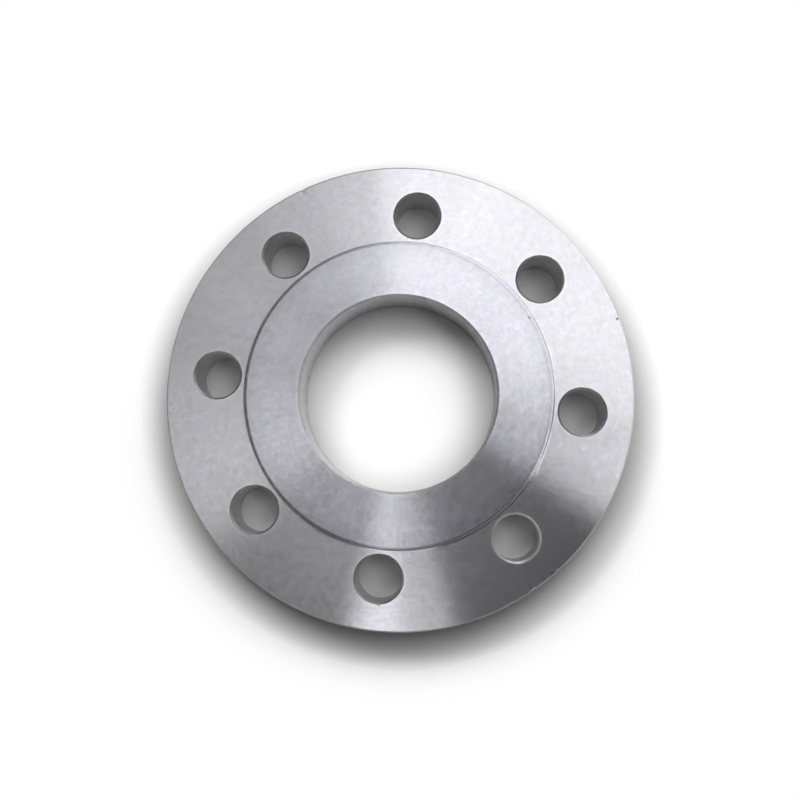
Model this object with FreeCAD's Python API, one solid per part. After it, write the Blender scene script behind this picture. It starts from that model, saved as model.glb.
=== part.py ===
"""A flat steel pipe flange with a raised gasket face, for 76.1 mm pipe.

The flange is one piece, turned and drilled from plate. It lies on its back face, with the
pipe's axis along +Z and the raised face on top. The origin is on the axis, in the back face.
"""
import FreeCAD, Part
import math
import os

# Ring
OUTER_DIAMETER = 185.0
THICKNESS = 20.0            # from the back face to the top of the raised face
RIM_CHAMFER = 0.6           # broken edges of the outer rim

# Raised gasket face
RAISED_FACE_DIAMETER = 122.0
RAISED_FACE_HEIGHT = 2.0
RAISED_EDGE_RADIUS = 0.4    # rounded top edge of the step
STEP_FILLET_RADIUS = 0.6    # fillet that the tool leaves at the foot of the step

# Pipe bore
BORE_DIAMETER = 77.5
BORE_FRONT_CHAMFER = 0.9
BORE_BACK_CHAMFER = 0.6

# Bolt holes
BOLT_COUNT = 8
BOLT_CIRCLE_DIAMETER = 145.0
BOLT_HOLE_DIAMETER = 18.0
BOLT_FRONT_CHAMFER = 0.8
BOLT_BACK_CHAMFER = 0.5
TOOL_OVERRUN = 1.0          # how far the drilling tool reaches past each face

PLATE_TOP = THICKNESS - RAISED_FACE_HEIGHT
AXIS_POINT = FreeCAD.Vector(0, 0, 0)
AXIS = FreeCAD.Vector(0, 0, 1)


def point(radius, height):
    """A point of a half section, in the XZ plane."""
    return FreeCAD.Vector(radius, 0, height)


def line(start, end):
    """A straight edge between two (radius, height) pairs."""
    return Part.makeLine(point(*start), point(*end))


def quarter_arc(start, end, centre):
    """A 90 degree arc from start to end about centre, all (radius, height) pairs."""
    from_centre = [(start[i] - centre[i]) + (end[i] - centre[i]) for i in (0, 1)]
    reach = math.hypot(*from_centre)
    radius = math.dist(start, centre)
    middle = [centre[i] + from_centre[i] * radius / reach for i in (0, 1)]
    return Part.Arc(point(*start), point(*middle), point(*end)).toShape()


def revolved(edges):
    """The solid that a closed half section sweeps round the axis."""
    section = Part.Face(Part.Wire(edges))
    return section.revolve(AXIS_POINT, AXIS, 360)


def straight_edges(corners):
    """Straight edges along a list of (radius, height) pairs."""
    return [line(start, end) for start, end in zip(corners, corners[1:])]


def turned_ring():
    """The ring as it comes off the lathe, before drilling."""
    bore = BORE_DIAMETER / 2
    rim = OUTER_DIAMETER / 2
    raised = RAISED_FACE_DIAMETER / 2

    below = [
        (bore + BORE_FRONT_CHAMFER, THICKNESS),
        (bore, THICKNESS - BORE_FRONT_CHAMFER),
        (bore, BORE_BACK_CHAMFER),
        (bore + BORE_BACK_CHAMFER, 0),
        (rim - RIM_CHAMFER, 0),
        (rim, RIM_CHAMFER),
        (rim, PLATE_TOP - RIM_CHAMFER),
        (rim - RIM_CHAMFER, PLATE_TOP),
        (raised + STEP_FILLET_RADIUS, PLATE_TOP),
    ]
    step_foot = (raised, PLATE_TOP + STEP_FILLET_RADIUS)
    step_top = (raised, THICKNESS - RAISED_EDGE_RADIUS)
    face_edge = (raised - RAISED_EDGE_RADIUS, THICKNESS)
    fillet_centre = (raised + STEP_FILLET_RADIUS, PLATE_TOP + STEP_FILLET_RADIUS)
    edge_centre = (raised - RAISED_EDGE_RADIUS, THICKNESS - RAISED_EDGE_RADIUS)

    edges = straight_edges(below)
    edges.append(quarter_arc(below[-1], step_foot, fillet_centre))
    edges.append(line(step_foot, step_top))
    edges.append(quarter_arc(step_top, face_edge, edge_centre))
    edges.append(line(face_edge, below[0]))
    return revolved(edges)


def drill():
    """What one bolt hole removes: the drill with a 45 degree chamfer at each face."""
    hole = BOLT_HOLE_DIAMETER / 2
    front_reach = hole + BOLT_FRONT_CHAMFER + TOOL_OVERRUN
    back_reach = hole + BOLT_BACK_CHAMFER + TOOL_OVERRUN
    corners = [
        (0, -TOOL_OVERRUN),
        (back_reach, -TOOL_OVERRUN),
        (hole, BOLT_BACK_CHAMFER),
        (hole, PLATE_TOP - BOLT_FRONT_CHAMFER),
        (front_reach, PLATE_TOP + TOOL_OVERRUN),
        (0, PLATE_TOP + TOOL_OVERRUN),
    ]
    return revolved(straight_edges(corners + corners[:1]))


def drills_on_bolt_circle():
    """The drill at every bolt hole. The holes straddle the centre lines, X and Y."""
    pitch = 360 / BOLT_COUNT
    centre = FreeCAD.Vector(BOLT_CIRCLE_DIAMETER / 2, 0, 0)
    drills = []
    for number in range(BOLT_COUNT):
        tool = drill()
        tool.translate(centre)
        tool.rotate(AXIS_POINT, AXIS, pitch * (number + 0.5))
        drills.append(tool)
    return drills


def make_flange():
    flange = turned_ring().cut(drills_on_bolt_circle())
    return flange.Solids[0]


os.makedirs("parts", exist_ok=True)
flange = make_flange()
flange.exportStep("parts/flange.step")
print("flange: valid", flange.isValid(), "volume mm3", round(flange.Volume), "faces", len(flange.Faces))
print("box", flange.BoundBox)
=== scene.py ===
"""The pipe flange as the photograph shows it: turned and drilled bright steel on a white floor."""

import math

import bmesh
import bpy
from mathutils import Matrix, Vector


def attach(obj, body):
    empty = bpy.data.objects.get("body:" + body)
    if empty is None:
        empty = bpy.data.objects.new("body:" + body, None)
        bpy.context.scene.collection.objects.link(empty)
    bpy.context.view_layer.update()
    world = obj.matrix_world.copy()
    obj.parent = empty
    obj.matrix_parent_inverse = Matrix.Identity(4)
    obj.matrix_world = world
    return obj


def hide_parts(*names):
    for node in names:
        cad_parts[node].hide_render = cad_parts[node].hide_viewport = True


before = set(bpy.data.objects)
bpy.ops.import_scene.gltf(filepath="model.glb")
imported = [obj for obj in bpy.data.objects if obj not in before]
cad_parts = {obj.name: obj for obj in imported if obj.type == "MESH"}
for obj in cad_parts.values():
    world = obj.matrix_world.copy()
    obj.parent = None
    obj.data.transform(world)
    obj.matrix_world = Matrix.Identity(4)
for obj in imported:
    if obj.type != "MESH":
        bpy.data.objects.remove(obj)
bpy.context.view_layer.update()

MM = 0.001

# Ring, in millimetres, as in the part's source
OUTER_RADIUS = 92.5
THICKNESS = 20.0
RAISED_FACE_RADIUS = 61.0
RAISED_FACE_HEIGHT = 2.0
PLATE_TOP = THICKNESS - RAISED_FACE_HEIGHT
RAISED_EDGE_RADIUS = 0.4
STEP_FILLET_RADIUS = 0.6
RIM_CHAMFER = 0.6
BORE_RADIUS = 38.75
BORE_FRONT_CHAMFER = 0.9
BORE_BACK_CHAMFER = 0.6
BOLT_COUNT = 8
BOLT_CIRCLE_RADIUS = 72.5
BOLT_HOLE_RADIUS = 9.0
BOLT_FRONT_CHAMFER = 0.8
BOLT_BACK_CHAMFER = 0.5

# Mesh density
PITCH = math.tau / BOLT_COUNT
ARC_STEPS = 96              # along one pitch of the ring
SIDE_STEPS = 16             # along each radial side of a bolt hole's field
RING_STEPS = ARC_STEPS * BOLT_COUNT
FIELD_INNER = RAISED_FACE_RADIUS + STEP_FILLET_RADIUS
FIELD_OUTER = 84.0          # the field is the ring of plate face that the holes are drilled in
FIELD_RINGS = (0.0, 0.06, 0.16, 0.32, 0.54, 0.78, 1.0)     # shares of the way out from the hole
QUARTER_STEPS = 4
SUPPORT = 0.12              # from the raised face's round edge to the loop that keeps its shading flat
SHARP_ANGLE = math.radians(28)

# Camera, from the ellipses of the bore, step and rim in the photograph
CAMERA_DISTANCE = 0.350
CAMERA_TILT = math.radians(7.02)
CAMERA_AZIMUTH = math.radians(-88.15)
CAMERA_AIM = Vector((-0.0001036, -0.0026826, 0.018))
IMAGE_UP_AZIMUTH = math.radians(73.57)
LENS = 39.89
SENSOR = 36.0
NEAR_CLIP = 0.01

# Azimuths below are in degrees round the ring's axis, counter-clockwise from the image's right

# Dents in the rim's front edge: azimuth and half width in degrees, depth in millimetres
RIM_DENTS = (
    (-47.6, 0.6, 0.4),
    (-50.6, 0.4, 0.3),
    (-53.0, 0.5, 0.4),
    (-55.8, 0.6, 0.6),
    (-58.7, 0.4, 0.4),
    (-62.1, 0.8, 0.4),
    (115.1, 0.5, 0.4),
)
DENT_REACH = 3.0            # how far a dent runs in and down from the edge, in millimetres
DENT_DROP = 0.6             # how far a dent pushes the edge down, for each millimetre that it pushes in

# Dark pits and specks: azimuth in degrees, radius and half width in millimetres, brightness
SPECKS = (
    (18.7, 91.3, 0.75, 0.25),
    (29.8, 59.7, 0.7, 0.5),
    (264.7, 82.3, 0.6, 0.45),
    (-49.6, 91.3, 0.7, 0.55),
    (-52.0, 90.2, 0.5, 0.6),
    (-56.3, 91.0, 0.6, 0.55),
)


def polar(radius, angle, height):
    """A point in metres from a radius and height in millimetres."""
    return Vector((radius * math.cos(angle), radius * math.sin(angle), height)) * MM


def ring_angle(image_azimuth):
    """Angle round the ring of an azimuth counter-clockwise from the image's right, in degrees."""
    return math.radians(image_azimuth) + IMAGE_UP_AZIMUTH - math.pi / 2


def angle_between(first, last):
    """Signed angle from first to last, within half a turn either way."""
    return (last - first + math.pi) % math.tau - math.pi


# Sections and wear

def quarter(start, end, centre):
    """Points of a 90 degree arc after start, up to and with end."""
    first = math.atan2(start[1] - centre[1], start[0] - centre[0])
    last = math.atan2(end[1] - centre[1], end[0] - centre[0])
    radius = math.dist(start, centre)
    turn = angle_between(first, last)
    angles = [first + turn * step / QUARTER_STEPS for step in range(1, QUARTER_STEPS + 1)]
    return [(centre[0] + radius * math.cos(a), centre[1] + radius * math.sin(a)) for a in angles]


def run(start, end, steps):
    """Points of a straight run after start, up to and with end."""
    return [
        (start[0] + (end[0] - start[0]) * step / steps, start[1] + (end[1] - start[1]) * step / steps)
        for step in range(1, steps + 1)
    ]


def raised_face_section():
    """From the plate face, up the step and across the raised face, to the bore's chamfer."""
    raised = RAISED_FACE_RADIUS
    foot = (FIELD_INNER, PLATE_TOP)
    wall_foot = (raised, PLATE_TOP + STEP_FILLET_RADIUS)
    wall_top = (raised, THICKNESS - RAISED_EDGE_RADIUS)
    face_edge = (raised - RAISED_EDGE_RADIUS, THICKNESS)
    points = [foot]
    points += quarter(foot, wall_foot, (FIELD_INNER, PLATE_TOP + STEP_FILLET_RADIUS))
    points += run(wall_foot, wall_top, 1)
    points += quarter(wall_top, face_edge, (face_edge[0], wall_top[1]))
    points += run(face_edge, (face_edge[0] - SUPPORT, THICKNESS), 1)
    points += run(points[-1], (BORE_RADIUS + BORE_FRONT_CHAMFER, THICKNESS), 8)
    return points


def bore_section():
    """The bore's front chamfer, wall and back chamfer."""
    points = [(BORE_RADIUS + BORE_FRONT_CHAMFER, THICKNESS)]
    points += run(points[-1], (BORE_RADIUS, THICKNESS - BORE_FRONT_CHAMFER), 1)
    points += run(points[-1], (BORE_RADIUS, BORE_BACK_CHAMFER), 6)
    points += run(points[-1], (BORE_RADIUS + BORE_BACK_CHAMFER, 0), 1)
    return points


def back_section():
    """The back face between the bore and the bolt holes' field."""
    return [(BORE_RADIUS + BORE_BACK_CHAMFER, 0)] + run(
        (BORE_RADIUS + BORE_BACK_CHAMFER, 0), (FIELD_INNER, 0), 6
    )


def front_edge_section():
    """The plate face between the bolt holes' field and the rim."""
    return [(FIELD_OUTER, PLATE_TOP)] + run(
        (FIELD_OUTER, PLATE_TOP), (OUTER_RADIUS - RIM_CHAMFER, PLATE_TOP), 8
    )


def rim_section():
    """The rim's chamfers and wall."""
    points = [(OUTER_RADIUS - RIM_CHAMFER, PLATE_TOP)]
    points += run(points[-1], (OUTER_RADIUS, PLATE_TOP - RIM_CHAMFER), 1)
    points += run(points[-1], (OUTER_RADIUS, RIM_CHAMFER), 10)
    points += run(points[-1], (OUTER_RADIUS - RIM_CHAMFER, 0), 1)
    return points


def back_edge_section():
    """The back face between the rim and the bolt holes' field."""
    start = (OUTER_RADIUS - RIM_CHAMFER, 0)
    return [start] + run(start, (FIELD_OUTER, 0), 3)


def dented(radius, angle, height):
    """Moves a point near the rim's front edge in and down where the edge has been knocked."""
    from_edge = math.dist((radius, height), (OUTER_RADIUS, PLATE_TOP))
    if from_edge > DENT_REACH:
        return radius, height
    push = 0.0
    for azimuth, half_width, depth in RIM_DENTS:
        offset = math.degrees(angle_between(ring_angle(azimuth), angle)) / half_width
        push += depth * math.exp(-offset * offset)
    push *= (1 - from_edge / DENT_REACH) ** 2
    return radius - push, height - DENT_DROP * push


def front_edge(number, angle):
    """Radius in millimetres of a bolt hole's front edge, which strays a little from its circle."""
    phase = 2.3 * number
    wander = (
        0.06 * math.sin(2 * angle + phase)
        + 0.04 * math.sin(5 * angle + 1.7 * phase)
        + 0.03 * math.sin(13 * angle + 2.9 * phase)
    )
    return BOLT_HOLE_RADIUS + BOLT_FRONT_CHAMFER + wander


def back_edge(number, angle):
    """Radius in millimetres of a bolt hole's back edge, a true circle at every hole and angle."""
    return BOLT_HOLE_RADIUS + BOLT_BACK_CHAMFER


def lengths_along(points):
    """Distance from the first point to each point."""
    total = [0.0]
    for start, end in zip(points, points[1:]):
        total.append(total[-1] + math.dist(start, end))
    return total


# Mesh

# In the order of the flange's material slots
FINISHES = ("plate_face", "raised_face", "bore_wall", "hole_wall", "rim")

# Map that the export bakes to: along the section in millimetres, and round the ring
MAP_NAME = "OFBake"
MAP_WIDTH = 176.0
MAP_MARGIN = 2.0
MAP_TURN = 0.992            # share of the map's height that one turn of the ring fills
MAP_HOLE_FILL = 0.97        # share of its place there that a bolt hole's wall fills


def map_place(along, angle):
    """Place on the map of a point so many millimetres along the section, at an angle round it."""
    return ((MAP_MARGIN + along) / MAP_WIDTH, (1 - MAP_TURN) / 2 + angle / math.tau * MAP_TURN)


class Sheets:
    """Quad sheets that are joined into one mesh, with the map that the export bakes to."""

    def __init__(self):
        self.mesh = bmesh.new()
        self.map = self.mesh.loops.layers.uv.new(MAP_NAME)

    def add(self, finish, points, coordinates):
        """Quads between neighbouring rows of points; coordinates has the map place of each."""
        rows = [[self.mesh.verts.new(p) for p in row] for row in points]
        for i in range(len(rows) - 1):
            for j in range(len(rows[i]) - 1):
                corners = ((i, j), (i, j + 1), (i + 1, j + 1), (i + 1, j))
                face = self.mesh.faces.new([rows[a][b] for a, b in corners])
                face.material_index = FINISHES.index(finish)
                face.smooth = True
                for loop, (a, b) in zip(face.loops, corners):
                    loop[self.map].uv = coordinates[a][b]

    def finished(self, name):
        bmesh.ops.remove_doubles(self.mesh, verts=self.mesh.verts, dist=1e-7)
        bmesh.ops.recalc_face_normals(self.mesh, faces=self.mesh.faces)
        for edge in self.mesh.edges:
            edge.smooth = edge.calc_face_angle(0) < SHARP_ANGLE
        made = bpy.data.meshes.new(name)
        self.mesh.to_mesh(made)
        self.mesh.free()
        return made


def add_revolved(sheets, finish, section, start):
    """A section swept round the axis. start is where it begins on the map; returns where it ends."""
    lengths = [start + length for length in lengths_along(section)]
    angles = [math.tau * step / RING_STEPS for step in range(RING_STEPS + 1)]
    closed = angles[:-1] + angles[:1]
    points = []
    for radius, height in section:
        places = [(angle, *dented(radius, angle, height)) for angle in closed]
        points.append([polar(r, angle, h) for angle, r, h in places])
    sheets.add(finish, points, [[map_place(length, angle) for angle in angles] for length in lengths])
    return lengths[-1]


def field_border():
    """Points round one bolt hole's field, as (radius, angle from the hole's own azimuth)."""
    half = PITCH / 2
    side = [FIELD_OUTER + (FIELD_INNER - FIELD_OUTER) * step / SIDE_STEPS for step in range(SIDE_STEPS + 1)]
    border = [(FIELD_OUTER, -half + PITCH * step / ARC_STEPS) for step in range(ARC_STEPS)]
    border += [(radius, half) for radius in side[:-1]]
    border += [(FIELD_INNER, half - PITCH * step / ARC_STEPS) for step in range(ARC_STEPS)]
    border += [(radius, -half) for radius in side[:0:-1]]
    return border + border[:1]


def hole_angles():
    """Angles round the hole that pair with the points of the field's border."""
    corners = []
    for radius in (FIELD_OUTER, FIELD_INNER):
        corner = polar(radius, PITCH / 2, 0) - polar(BOLT_CIRCLE_RADIUS, 0, 0)
        corners.append(math.atan2(corner.y, corner.x))
    outer, inner = corners
    stops = (-outer, outer, inner, math.tau - inner, math.tau - outer)
    counts = (ARC_STEPS, SIDE_STEPS, ARC_STEPS, SIDE_STEPS)
    angles = []
    for first, last, count in zip(stops, stops[1:], counts):
        angles += [first + (last - first) * step / count for step in range(count)]
    return angles + [angles[0] + math.tau]


def add_field(sheets, number, edge, height, start, direction):
    """The plate face between a bolt hole's edge and its neighbours' fields."""
    azimuth = (number + 0.5) * PITCH
    centre = polar(BOLT_CIRCLE_RADIUS, azimuth, height)
    rows, places = [], []
    angles = hole_angles()
    angles[-1] = angles[0]
    for share in FIELD_RINGS:
        row, place = [], []
        for (radius, offset), angle in zip(field_border(), angles):
            near = centre + polar(edge(number, angle), azimuth + angle, 0)
            far = polar(radius, azimuth + offset, height)
            spot = near.lerp(far, share)
            row.append(spot)
            reach = math.hypot(spot.x, spot.y) / MM
            turn = angle_between(azimuth, math.atan2(spot.y, spot.x))
            place.append(map_place(start + direction * (reach - FIELD_INNER), azimuth + turn))
        rows.append(row)
        places.append(place)
    sheets.add("plate_face", rows, places)


def add_hole_wall(sheets, number, start):
    """A bolt hole's chamfers and wall."""
    azimuth = (number + 0.5) * PITCH
    section = [(BOLT_HOLE_RADIUS + BOLT_FRONT_CHAMFER, PLATE_TOP)]
    section += run(section[0], (BOLT_HOLE_RADIUS, PLATE_TOP - BOLT_FRONT_CHAMFER), 1)
    section += run(section[-1], (BOLT_HOLE_RADIUS, BOLT_BACK_CHAMFER), 6)
    section += run(section[-1], (BOLT_HOLE_RADIUS + BOLT_BACK_CHAMFER, 0), 1)
    angles = hole_angles()
    closed = angles[:-1] + angles[:1]
    centre = polar(BOLT_CIRCLE_RADIUS, azimuth, 0)
    rows = [[centre + polar(front_edge(number, angle), azimuth + angle, PLATE_TOP) for angle in closed]]
    for radius, height in section[1:]:
        rows.append([centre + polar(radius, azimuth + angle, height) for angle in closed])
    first = math.tau * number / BOLT_COUNT
    share = MAP_HOLE_FILL * BOLT_HOLE_RADIUS / OUTER_RADIUS
    places = [
        [map_place(start + length, first + (angle - angles[0]) * share) for angle in angles]
        for length in lengths_along(section)
    ]
    sheets.add("hole_wall", rows, places)


def flange_mesh():
    sheets = Sheets()
    field_width = FIELD_OUTER - FIELD_INNER
    bore_start = add_revolved(sheets, "raised_face", raised_face_section(), field_width)
    back_start = add_revolved(sheets, "bore_wall", bore_section(), bore_start)
    back_end = add_revolved(sheets, "plate_face", back_section(), back_start)
    edge_start = back_end + field_width + MAP_MARGIN
    rim_start = add_revolved(sheets, "plate_face", front_edge_section(), edge_start)
    back_edge_start = add_revolved(sheets, "rim", rim_section(), rim_start)
    wall_start = add_revolved(sheets, "plate_face", back_edge_section(), back_edge_start) + MAP_MARGIN
    for number in range(BOLT_COUNT):
        add_field(sheets, number, front_edge, PLATE_TOP, field_width, -1)
        add_field(sheets, number, back_edge, 0, back_end, 1)
        add_hole_wall(sheets, number, wall_start)
    return sheets.finished("flange_body")


# Materials

class Nodes:
    """Short calls for building a node tree."""

    def __init__(self, owner):
        owner.use_nodes = True
        self.tree = owner.node_tree
        self.tree.nodes.clear()

    def add(self, kind, inputs=None, **settings):
        node = self.tree.nodes.new(kind)
        for key, value in settings.items():
            setattr(node, key, value)
        for key, value in (inputs or {}).items():
            socket = node.inputs[key]
            if isinstance(value, bpy.types.NodeSocket):
                self.tree.links.new(value, socket)
            else:
                socket.default_value = value
        return node

    def math(self, operation, *values):
        return self.add("ShaderNodeMath", dict(enumerate(values)), operation=operation).outputs[0]

    def vector(self, x=0.0, y=0.0, z=0.0):
        return self.add("ShaderNodeCombineXYZ", {0: x, 1: y, 2: z}).outputs[0]

    def noise(self, vector, scale=1.0, detail=2.0, roughness=0.5):
        inputs = {"Vector": vector, "Scale": scale, "Detail": detail, "Roughness": roughness}
        return self.add("ShaderNodeTexNoise", inputs).outputs["Fac"]

    def spread(self, value, low, high, to_low=0.0, to_high=1.0):
        inputs = {0: value, 1: low, 2: high, 3: to_low, 4: to_high}
        return self.add("ShaderNodeMapRange", inputs).outputs[0]

    def band(self, value, rise, full, fall, end):
        """1 between full and fall, and 0 outside rise and end."""
        return self.math("MINIMUM", self.spread(value, rise, full), self.spread(value, fall, end, 1.0, 0.0))

    def sum(self, *values):
        total = values[0]
        for value in values[1:]:
            total = self.math("ADD", total, value)
        return total

    def swing(self, value, amount):
        """A noise of about 0.5, turned into a swing of so much about nought."""
        return self.math("MULTIPLY", self.math("SUBTRACT", value, 0.5), amount)


class Steel(Nodes):
    """A machined steel finish, built on the ring's own radius, height and azimuth."""

    def __init__(self, name):
        self.material = bpy.data.materials.new(name)
        super().__init__(self.material)
        self.place = self.add("ShaderNodeTexCoord").outputs["Object"]
        x, y, z = self.add("ShaderNodeSeparateXYZ", {0: self.place}).outputs
        self.radius = self.math("SQRT", self.sum(self.math("MULTIPLY", x, x), self.math("MULTIPLY", y, y)))
        self.azimuth = self.math("ARCTAN2", y, x)
        self.east = self.math("DIVIDE", x, self.radius)
        self.north = self.math("DIVIDE", y, self.radius)
        self.along = self.math("ADD", self.radius, z)
        self.height = z

    def grain(self, across, around, detail=2.0, roughness=0.5):
        """Noise drawn out round the ring: across per metre along the section, around per radian."""
        spot = self.vector(
            self.math("MULTIPLY", self.along, across),
            self.math("MULTIPLY", self.east, around),
            self.math("MULTIPLY", self.north, around),
        )
        return self.noise(spot, 1.0, detail, roughness)

    def facing(self, image_azimuth):
        """1 on the side of the ring towards an azimuth of the image, down to -1 on the far side."""
        angle = ring_angle(image_azimuth)
        return self.sum(
            self.math("MULTIPLY", self.east, math.cos(angle)),
            self.math("MULTIPLY", self.north, math.sin(angle)),
        )

    def hole_distance(self):
        """Distance in metres from the axis of the nearest bolt hole."""
        offset = self.math("WRAP", self.math("SUBTRACT", self.azimuth, PITCH / 2), PITCH / 2, -PITCH / 2)
        reach = BOLT_CIRCLE_RADIUS * MM
        outward = self.math("MULTIPLY", self.radius, self.math("COSINE", offset))
        radial = self.math("SUBTRACT", outward, reach)
        lateral = self.math("MULTIPLY", self.radius, self.math("SINE", offset))
        return self.math(
            "SQRT", self.sum(self.math("MULTIPLY", radial, radial), self.math("MULTIPLY", lateral, lateral))
        )

    def mottle(self):
        """Soft cloudy patches from a fraction of a millimetre to a few millimetres."""
        return self.noise(self.place, 330.0, 4.0, 0.88)

    def unevenness(self):
        """Low swells of a millimetre or two, which leave the reflections' edges ragged."""
        return self.noise(self.place, 520.0, 1.0, 0.5)

    def tint(self, neutral, lavender):
        """Patches of a few millimetres from one blue to another, as shares of the green."""
        patches = self.spread(self.noise(self.place, 170.0, 3.0, 0.6), 0.3, 0.7)
        colours = {1: (1.0, 1.0, neutral, 1), 2: (1.02, 1.0, lavender, 1)}
        return self.add("ShaderNodeMixRGB", {0: patches, **colours}).outputs[0]

    def finish(self, tint, level, roughness, relief, relief_depth, anisotropic):
        colour = self.add("ShaderNodeVectorMath", {0: tint, "Scale": level}, operation="SCALE").outputs[0]
        bump = self.add("ShaderNodeBump", {"Height": relief, "Distance": relief_depth}).outputs[0]
        tangent = self.add("ShaderNodeTangent", direction_type="UV_MAP", uv_map=MAP_NAME).outputs[0]
        shader = self.add(
            "ShaderNodeBsdfPrincipled",
            {"Base Color": colour, "Metallic": 1.0, "Roughness": roughness, "Normal": bump,
             "Tangent": tangent, "Anisotropic": anisotropic},
        ).outputs[0]
        self.add("ShaderNodeOutputMaterial", {0: shader})
        return self.material


# Where a band of shine or painted shade begins, is full, starts to fade and ends, in metres
HOLE_EDGE_SHINE = (0.0095, 0.0098, 0.0101, 0.0112)      # from a bolt hole's axis
BORE_EDGE_SHINE = (0.0390, 0.0396, 0.0400, 0.0414)      # from the ring's axis
# the corner at the step's foot, painted darker as shade
STEP_FOOT_PAINTED_SHADE = (0.0610, 0.0612, 0.0615, 0.0619)
HOLE_CHAMFER_FOOT = (0.01716, 0.01722)                  # heights below and above the chamfer's foot


def plate_face():
    """Faced plate: fine turning grain, cloudy mottle, burnished hole edges, painted shade at the step's
    foot.
    """
    steel = Steel("plate_face")
    mottle = steel.mottle()
    grain = steel.grain(2200.0, 26.0, 2.0, 0.6)
    burnish = steel.band(steel.hole_distance(), *HOLE_EDGE_SHINE)
    level = steel.sum(
        0.605, steel.swing(mottle, 0.31), steel.swing(grain, 0.11), steel.math("MULTIPLY", burnish, 0.035)
    )
    # painted shade in the step's corner and along the raised face's edge
    level = steel.math("MULTIPLY", level, step_painted_shade(steel))
    level = steel.math("MULTIPLY", level, specks(steel))
    level = steel.math("MULTIPLY", level, steel.spread(steel.radius, 0.072, 0.091, 1.0, 0.95))
    relief = steel.sum(steel.unevenness(), steel.swing(grain, 0.3))
    roughness = steel.spread(mottle, 0.3, 0.7, 0.212, 0.224)
    return steel.finish(steel.tint(1.03, 1.09), level, roughness, relief, 0.0000035, 1.0)


def raised_face():
    """Faced sealing face: as the plate, more lavender, and duller towards its rubbed bright edge."""
    steel = Steel("raised_face")
    mottle = steel.mottle()
    grain = steel.grain(2000.0, 22.0, 2.0, 0.6)
    burnish = steel.band(steel.radius, *BORE_EDGE_SHINE)
    dulled = steel.spread(steel.radius, 0.0535, 0.0595, 0.0, -0.07)
    edge_shine = steel.spread(steel.radius, 0.0604, 0.0607, 0.0, 0.09)
    level = steel.sum(
        0.615, steel.swing(mottle, 0.34), steel.swing(grain, 0.12), steel.math("MULTIPLY", burnish, 0.04),
        dulled, edge_shine,
    )
    # painted shade along the raised face's edge, darkest on the left
    level = steel.math("MULTIPLY", level, step_painted_shade(steel))
    level = steel.math("MULTIPLY", level, specks(steel))
    relief = steel.sum(steel.unevenness(), steel.swing(grain, 0.3))
    roughness = steel.spread(mottle, 0.3, 0.7, 0.220, 0.236)
    return steel.finish(steel.tint(1.07, 1.13), level, roughness, relief, 0.000005, 0.97)


def specks(steel):
    """Brightness of the few dark pits and dirt specks."""
    total = 1.0
    for azimuth, radius, size, brightness in SPECKS:
        height = THICKNESS if radius < RAISED_FACE_RADIUS else PLATE_TOP
        centre = polar(radius, ring_angle(azimuth), height)
        offset = steel.add("ShaderNodeVectorMath", {0: steel.place, 1: centre}, operation="DISTANCE")
        dark = steel.spread(offset.outputs["Value"], 0.4 * size * MM, size * MM, brightness, 1.0)
        total = steel.math("MULTIPLY", total, dark)
    return total


def step_painted_shade(steel):
    """Brightness of the shade painted in the corner below the raised face's edge and along that edge, where
    the line is darkest on the left; both a little patchy.
    """
    left = steel.facing(195.0)
    further_out = steel.spread(steel.facing(270.0), 0.0, 0.8, 0.0, 0.00025)
    middle = steel.sum(steel.spread(left, -0.75, -0.2, 0.0596, 0.0604), further_out)
    offset = steel.math("ABSOLUTE", steel.math("SUBTRACT", steel.radius, middle))
    edge = steel.spread(offset, 0.0003, 0.0007, 1.0, 0.0)
    side = steel.sum(steel.spread(left, -0.5, 0.1, 0.12, 0.54), steel.spread(left, 0.1, 1.0, 0.0, 0.2))
    patchy = steel.spread(steel.grain(300.0, 30.0), 0.3, 0.6, 0.8, 1.0)
    corner = steel.band(steel.radius, *STEP_FOOT_PAINTED_SHADE)
    fainter_lower_left = steel.spread(steel.facing(245.0), 0.75, 1.0, 1.0, 0.82)
    side = steel.math("MULTIPLY", side, fainter_lower_left)
    painted_shade = steel.sum(steel.math("MULTIPLY", edge, side), steel.math("MULTIPLY", corner, 0.28))
    return steel.math("SUBTRACT", 1.0, steel.math("MULTIPLY", painted_shade, patchy))


def bore_wall():
    """Bored wall: rings of tool marks and faint chatter along the axis, and a colour painted lighter on the
    left and darker on the right as light and shade.
    """
    steel = Steel("bore_wall")
    mottle = steel.mottle()
    chatter = steel.grain(60.0, 34.0, 2.0, 0.6)
    rings = steel.grain(2600.0, 3.0, 2.0, 0.6)
    # painted light and shade: lighter towards the left, darker towards the right
    lit_left_shaded_right = steel.spread(steel.facing(190.0), -0.8, 0.6, 0.37, 0.58)
    level = steel.sum(lit_left_shaded_right, steel.swing(mottle, 0.25), steel.swing(chatter, 0.25), steel.swing(rings, 0.12))
    roughness = steel.spread(chatter, 0.3, 0.7, 0.32, 0.40)
    return steel.finish(steel.tint(1.0, 1.06), level, roughness, steel.unevenness(), 0.000003, 0.8)


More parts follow.
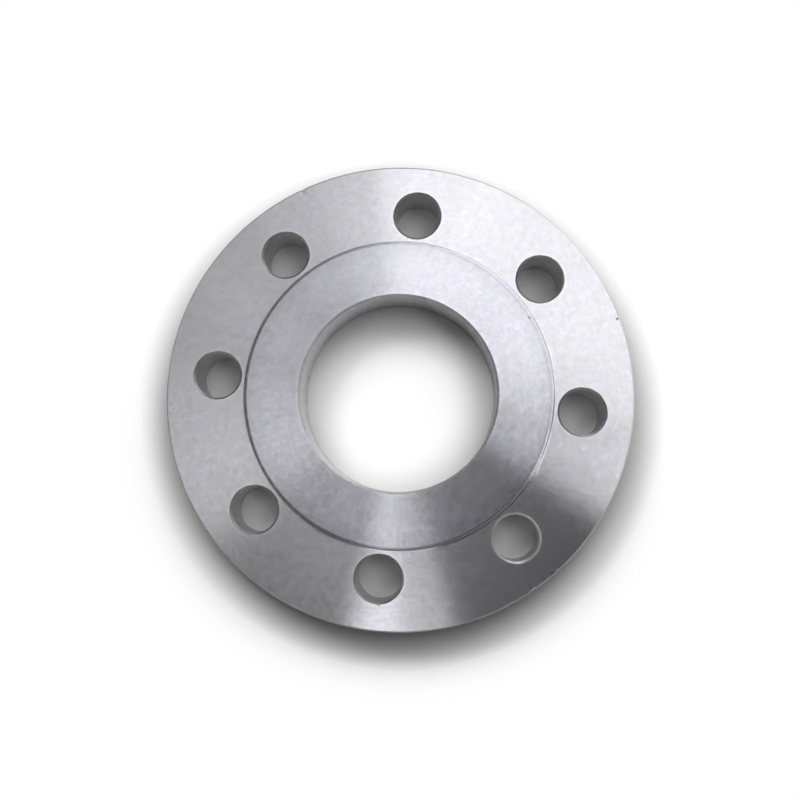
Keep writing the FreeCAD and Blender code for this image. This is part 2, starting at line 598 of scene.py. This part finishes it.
def hole_wall():
    """Drilled wall: coarse rings from the drill, and a chamfer painted darker as shade except on the holes
    at the lower right.
    """
    steel = Steel("hole_wall")
    mottle = steel.mottle()
    spot = steel.vector(
        steel.math("MULTIPLY", steel.height, 2100.0),
        steel.math("MULTIPLY", steel.east, 14.0),
        steel.math("MULTIPLY", steel.north, 14.0),
    )
    rings = steel.noise(spot, 1.0, 2.0, 0.6)
    chamfer = steel.spread(steel.height, *HOLE_CHAMFER_FOOT)
    level = steel.sum(0.68, steel.swing(mottle, 0.3), steel.swing(rings, 0.5))
    # painted shade: the chamfer is darkened to half, except on the holes at the lower right
    chamfer_painted_shade = steel.spread(steel.facing(-48.0), 0.75, 0.95, 0.5, 1.0)
    level = steel.math("MULTIPLY", level, steel.spread(chamfer, 0.0, 1.0, 0.88, chamfer_painted_shade))
    relief = steel.sum(steel.swing(rings, 0.5), steel.unevenness())
    roughness = steel.spread(chamfer, 0.0, 1.0, 0.40, 0.32)
    return steel.finish(steel.tint(1.0, 1.03), level, roughness, relief, 0.000006, 0.6)


def rim():
    """Turned rim: feed lines and handling marks, and a colour painted brighter towards the upper right and
    darker elsewhere as light and shade.
    """
    steel = Steel("rim")
    mottle = steel.mottle()
    lines = steel.grain(1800.0, 5.0, 2.0, 0.6)
    scuffs = steel.noise(steel.place, 90.0, 4.0, 0.65)
    # painted light and shade: brighter towards the upper right, darker on the other side
    lit_right_shaded_left = steel.spread(steel.facing(20.0), 0.35, 0.90, 0.28, 0.70)
    level = steel.sum(lit_right_shaded_left, steel.swing(mottle, 0.2), steel.swing(lines, 0.16), steel.swing(scuffs, 0.25))
    level = steel.math("MULTIPLY", level, specks(steel))
    relief = steel.sum(lines, steel.swing(scuffs, 0.6))
    roughness = steel.spread(scuffs, 0.3, 0.7, 0.32, 0.40)
    return steel.finish(steel.tint(1.0, 1.04), level, roughness, relief, 0.000006, 0.85)


# Stage

FLOOR_RADIUS = 4.0
FLOOR_DROP = 0.00002
WALL_HEIGHT = 2.4
SHADOW_REACH = 0.018        # how near the object has to be to the paper to deepen its shadow
SHADOW_TILT = 17.0          # lean of that shadow's sky towards the top of the image, in degrees
SHADOW_IN_BORE = 0.6        # depth of that shadow on the paper seen through the bore,
SHADOW_IN_HOLES = 0.3       # on the paper seen through the bolt holes,
SHADOW_OUTSIDE = 1.65       # and round the rim
SHADOW_FADE = (0.104, 0.125)    # distances from the axis between which the floor turns plain white
PAPER_WHITE = 0.94          # diffuse colour of the floor
WALL_GREY = 0.1             # diffuse colour of the backdrop
WALL_FADE = (0.1, 1.1)      # heights between which the backdrop's white fades in reflections
WALL_DIM = 0.35             # what is left of it above
WORLD_LEVEL = 0.05          # radiance of the dark studio all round


def background(name, colour, amount):
    """Diffuse paper that camera, glossy and transmission rays see as plain white, by amount(nodes)."""
    material = bpy.data.materials.new(name)
    nodes = Nodes(material)
    lit = nodes.add("ShaderNodeBsdfDiffuse", {"Color": colour(nodes)}).outputs[0]
    white = nodes.add("ShaderNodeEmission", {"Color": (1, 1, 1, 1), "Strength": 1.0}).outputs[0]
    mixed = nodes.add("ShaderNodeMixShader", {0: amount(nodes), 1: lit, 2: white}).outputs[0]
    nodes.add("ShaderNodeOutputMaterial", {0: mixed})
    return material


def floor_distance(nodes):
    place = nodes.add("ShaderNodeTexCoord").outputs["Object"]
    return nodes.add("ShaderNodeVectorMath", {0: place}, operation="LENGTH").outputs["Value"]


def floor_colour(nodes):
    """White paper, deeper in the soft shadow close to the object than the lamps alone leave it."""
    tilt = math.radians(SHADOW_TILT)
    lean = math.sin(tilt)
    sky = nodes.vector(
        lean * math.cos(IMAGE_UP_AZIMUTH), lean * math.sin(IMAGE_UP_AZIMUTH), math.cos(tilt)
    )
    open_sky = nodes.add(
        "ShaderNodeAmbientOcclusion", {"Distance": SHADOW_REACH, "Normal": sky}, samples=8
    ).outputs["AO"]
    distance = floor_distance(nodes)
    depth = nodes.sum(
        nodes.spread(distance, 0.039, 0.044, SHADOW_IN_BORE, SHADOW_IN_HOLES),
        nodes.spread(distance, 0.086, 0.090, 0.0, SHADOW_OUTSIDE - SHADOW_IN_HOLES),
    )
    white = nodes.math("MULTIPLY", nodes.math("POWER", open_sky, depth), PAPER_WHITE)
    return nodes.vector(white, white, white)


def floor_amount(nodes):
    """Lit and shadowed near the object, plain white further out."""
    near, white = SHADOW_FADE
    inputs = {0: floor_distance(nodes), 1: near, 2: white}
    far = nodes.add("ShaderNodeMapRange", inputs, interpolation_type="SMOOTHSTEP").outputs[0]
    rays = nodes.add("ShaderNodeLightPath").outputs
    mirrored = nodes.math("MAXIMUM", rays["Is Glossy Ray"], rays["Is Transmission Ray"])
    return nodes.math("MULTIPLY", far, nodes.math("MAXIMUM", rays["Is Camera Ray"], mirrored))


def wall_colour(nodes):
    return nodes.vector(WALL_GREY, WALL_GREY, WALL_GREY)


def wall_amount(nodes):
    """White to the camera; in reflections the white fades to a dim grey above the horizon."""
    place = nodes.add("ShaderNodeTexCoord").outputs["Object"]
    height = nodes.add("ShaderNodeSeparateXYZ", {0: place}).outputs[2]
    bottom, top = WALL_FADE
    inputs = {0: height, 1: bottom, 2: top, 3: 1.0, 4: WALL_DIM}
    low = nodes.add("ShaderNodeMapRange", inputs, interpolation_type="SMOOTHSTEP").outputs[0]
    rays = nodes.add("ShaderNodeLightPath").outputs
    mirrored = nodes.math("MAXIMUM", rays["Is Glossy Ray"], rays["Is Transmission Ray"])
    return nodes.math("MAXIMUM", rays["Is Camera Ray"], nodes.math("MULTIPLY", mirrored, low))


def add_stage_mesh(name, mesh, material):
    made = bpy.data.meshes.new(name)
    mesh.to_mesh(made)
    mesh.free()
    made.materials.append(material)
    piece = bpy.data.objects.new(name, made)
    bpy.context.scene.collection.objects.link(piece)
    return piece


def add_floor():
    mesh = bmesh.new()
    bmesh.ops.create_circle(mesh, cap_ends=True, radius=FLOOR_RADIUS, segments=96)
    floor = add_stage_mesh("floor", mesh, background("white_floor", floor_colour, floor_amount))
    floor.location.z = -FLOOR_DROP


def add_backdrop():
    mesh = bmesh.new()
    bmesh.ops.create_cone(
        mesh, cap_ends=False, radius1=FLOOR_RADIUS, radius2=FLOOR_RADIUS, depth=WALL_HEIGHT, segments=96
    )
    bmesh.ops.translate(mesh, verts=mesh.verts, vec=(0, 0, WALL_HEIGHT / 2))
    add_stage_mesh("backdrop", mesh, background("white_backdrop", wall_colour, wall_amount))


def image_direction(image_azimuth, zenith):
    """Unit vector for an angle counter-clockwise from the image's right, and one from the zenith."""
    turn = ring_angle(image_azimuth)
    tilt = math.radians(zenith)
    return Vector((math.sin(tilt) * math.cos(turn), math.sin(tilt) * math.sin(turn), math.cos(tilt)))


PANEL_DISTANCE = 2.0
PANEL_CELL = 5.0            # largest cell of a panel's mesh, in degrees

# Soft boxes that the steel reflects: first and last azimuth and zenith angle in degrees, radiance
PANELS = {
    "panel_edge": (-25, -17, 27, 46, 3.5),
    "panel_right_low": (-17, -4, 20, 38, 3.4),
    "panel_right": (-4, 18, 16, 34, 2.6),
    "panel_right_top": (18, 48, 12, 34, 2.3),
    "panel_top": (48, 74, 10, 36, 2.15),
    "panel_top_high": (74, 98, 10, 36, 2.4),
    "panel_top_left": (98, 111, 12, 30, 1.85),
    "panel_left_top": (111, 124, 12, 30, 1.45),
    "panel_left_high": (124, 140, 10, 28, 1.25),
    "panel_left_soft": (140, 156, 10, 28, 0.85),
    "panel_left": (156, 182, 10, 28, 1.05),
    "panel_left_low": (182, 201, 12, 32, 0.9),
    "panel_front": (249, 264, 12, 30, 3.4),
    "panel_front_soft": (264, 281, 12, 28, 1.85),
    "panel_overhead": (172, 220, 4, 9, 0.5),
    "panel_window": (35, 105, 70, 88, 1.5),
    "panel_window_side": (-60, 35, 72, 88, 0.5),
    "panel_fill": (8, 76, 40, 66, 1.3),
}


def glowing(name, level):
    material = bpy.data.materials.new(name)
    nodes = Nodes(material)
    shader = nodes.add("ShaderNodeEmission", {"Color": (1, 1, 1, 1), "Strength": level}).outputs[0]
    nodes.add("ShaderNodeOutputMaterial", {0: shader})
    return material


def add_panel(name, first, last, low, high, level):
    """A soft box that fills a range of azimuths and zenith angles as seen from the flange."""
    mesh = bmesh.new()
    across = math.ceil((last - first) / PANEL_CELL)
    down = math.ceil((high - low) / PANEL_CELL)
    rows = []
    for i in range(down + 1):
        zenith = low + (high - low) * i / down
        azimuths = [first + (last - first) * j / across for j in range(across + 1)]
        rows.append([mesh.verts.new(image_direction(a, zenith) * PANEL_DISTANCE) for a in azimuths])
    for upper, lower in zip(rows, rows[1:]):
        for j in range(across):
            mesh.faces.new((upper[j], upper[j + 1], lower[j + 1], lower[j]))
    panel = add_stage_mesh(name, mesh, glowing(name, level))
    panel.visible_camera = False


LAMP_DISTANCE = 1.6

# Lamps that light the paper: azimuth, zenith angle, width and height in degrees, and level
LAMPS = {
    "lamp_left": (122, 47, 36, 26, 6.0),
    "lamp_right": (62, 45, 36, 26, 3.2),
}


def add_shadow_lamp(name, image_azimuth, zenith, width, height, level):
    """A soft lamp that lights the paper; width and height are angles, level sets its brightness."""
    data = bpy.data.lights.new(name, "AREA")
    data.shape = "ELLIPSE"
    data.size = 2 * LAMP_DISTANCE * math.tan(math.radians(width / 2))
    data.size_y = 2 * LAMP_DISTANCE * math.tan(math.radians(height / 2))
    data.energy = level * math.pi * data.size * data.size_y
    lamp = bpy.data.objects.new(name, data)
    bpy.context.scene.collection.objects.link(lamp)
    back = image_direction(image_azimuth, zenith)
    side = Vector((0, 0, 1)).cross(back).normalized()
    upward = back.cross(side)
    turn = Matrix((side, upward, back)).transposed()
    lamp.matrix_world = Matrix.Translation(back * LAMP_DISTANCE) @ turn.to_4x4()
    lamp.visible_camera = False
    lamp.visible_glossy = False


def add_camera():
    centre = Vector((0, 0, PLATE_TOP * MM))
    out = Vector((
        math.sin(CAMERA_TILT) * math.cos(CAMERA_AZIMUTH),
        math.sin(CAMERA_TILT) * math.sin(CAMERA_AZIMUTH),
        math.cos(CAMERA_TILT),
    ))
    position = centre + out * CAMERA_DISTANCE
    back = (position - CAMERA_AIM).normalized()
    image_up = Vector((math.cos(IMAGE_UP_AZIMUTH), math.sin(IMAGE_UP_AZIMUTH), 0))
    right = image_up.cross(back).normalized()
    upward = back.cross(right)
    data = bpy.data.cameras.new("camera")
    data.lens = LENS
    data.sensor_width = SENSOR
    data.clip_start = NEAR_CLIP
    camera = bpy.data.objects.new("camera", data)
    turn = Matrix((right, upward, back)).transposed()
    camera.matrix_world = Matrix.Translation(position) @ turn.to_4x4()
    bpy.context.scene.collection.objects.link(camera)
    bpy.context.scene.camera = camera


def add_world():
    world = bpy.data.worlds.new("studio")
    nodes = Nodes(world)
    shader = nodes.add("ShaderNodeBackground", {"Color": (1, 1, 1, 1), "Strength": WORLD_LEVEL}).outputs[0]
    nodes.add("ShaderNodeOutputWorld", {0: shader})
    bpy.context.scene.world = world


bpy.context.scene.view_settings.view_transform = "Standard"
add_camera()
add_world()
add_floor()
add_backdrop()
for panel_name, spans in PANELS.items():
    add_panel(panel_name, *spans)
for lamp_name, lamp_spans in LAMPS.items():
    add_shadow_lamp(lamp_name, *lamp_spans)

flange = bpy.data.objects.new("flange_body", flange_mesh())
bpy.context.scene.collection.objects.link(flange)
for steel_finish in (plate_face, raised_face, bore_wall, hole_wall, rim):
    flange.data.materials.append(steel_finish())
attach(flange, "root")
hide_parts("flange")
